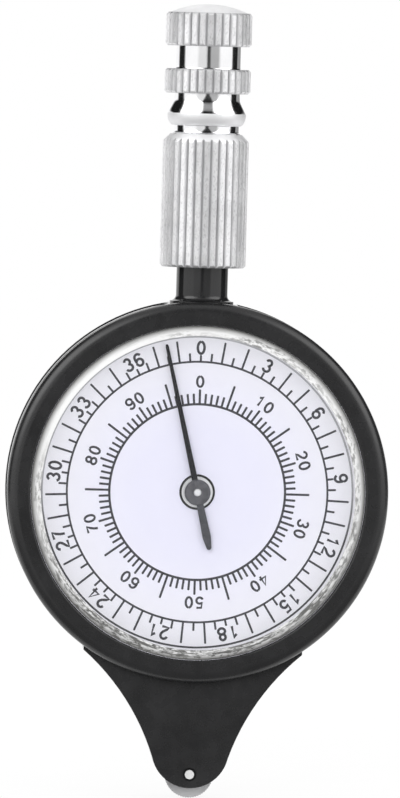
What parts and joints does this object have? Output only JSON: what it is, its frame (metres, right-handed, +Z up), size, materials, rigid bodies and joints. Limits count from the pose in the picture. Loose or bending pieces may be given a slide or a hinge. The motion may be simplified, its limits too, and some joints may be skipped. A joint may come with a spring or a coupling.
{
  "type": "opisometer map measurer",
  "caption": "Hand-held map measurer: a small wheel rolled along a map line turns a pointer on a round dial through a gear train, under a knurled metal handle.",
  "frame": {"origin": "lowest point of the tracing wheel, in the middle plane of the wheel; it is also the bottom centre of the whole object's box", "axes": "+Z up along the handle, the dial faces -Y and the back faces +Y, +X to the reader's right"},
  "size_m": [0.05, 0.013, 0.1043],
  "materials": {
    "black_plastic": "satin black moulding",
    "clear_plastic": "clear moulding with a polished bevel",
    "dial_face": "pale lavender white, printed",
    "bright_metal": "bright plated",
    "wheel_metal": "turned, finely toothed rim",
    "steel": "turned",
    "brass": "pressed and turned",
    "pointer_black": "black lacquer",
    "hub_grey": "dark grey"
  },
  "bodies": {
    "case": {"case_body": "black_plastic", "bezel_ring": "black_plastic", "lens": "clear_plastic", "dial": "dial_face", "rear_cover": "black_plastic", "upper_cover_screws": "steel", "snout_cover_screws": "steel", "front_plate": "brass", "rear_plate": "brass", "plate_pillars": "brass", "pillar_screws": "steel", "plate_screws": "steel", "centre_bush": "bright_metal", "front_pivot_bush": "brass", "rear_pivot_bushes": "brass", "wheel_axle": "bright_metal", "lower_idler_pin": "steel", "upper_idler_pin": "steel", "handle": "bright_metal"},
    "pointer_arbor": {"pointer": "pointer_black", "pointer_boss": "hub_grey", "centre_arbor": "bright_metal", "centre_gear": "brass"},
    "intermediate_wheel": {"intermediate_arbor": "steel", "intermediate_gear": "brass", "intermediate_pinion": "steel"},
    "upper_idler": {"upper_idler_gear": "brass"},
    "lower_idler": {"lower_idler_gear": "brass"},
    "tracing_wheel": {"tracing_wheel": "wheel_metal", "wheel_pinion": "steel"}
  },
  "joints": [
    {"name": "pointer_turn", "type": "hinge", "parent": "case", "child": "pointer_arbor", "pos_m": [0, 0, 0.04032], "axis": [0, 1, 0], "continuous": true},
    {"name": "intermediate_turn", "type": "hinge", "parent": "case", "child": "intermediate_wheel", "pos_m": [0, 0, 0.02912], "axis": [0, 1, 0], "continuous": true},
    {"name": "upper_idler_turn", "type": "hinge", "parent": "case", "child": "upper_idler", "pos_m": [0, 0, 0.01529], "axis": [0, 1, 0], "continuous": true},
    {"name": "lower_idler_turn", "type": "hinge", "parent": "case", "child": "lower_idler", "pos_m": [0, 0, 0.00794], "axis": [0, 1, 0], "continuous": true},
    {"name": "tracing_wheel_turn", "type": "hinge", "parent": "case", "child": "tracing_wheel", "pos_m": [0, 0, 0.00322], "axis": [0, 1, 0], "continuous": true}
  ],
  "couplings": [
    {"joint": "intermediate_turn", "follows": "pointer_turn", "ratio": -7},
    {"joint": "upper_idler_turn", "follows": "pointer_turn", "ratio": 17.043},
    {"joint": "lower_idler_turn", "follows": "pointer_turn", "ratio": -20.632},
    {"joint": "tracing_wheel_turn", "follows": "pointer_turn", "ratio": 49}
  ]
}
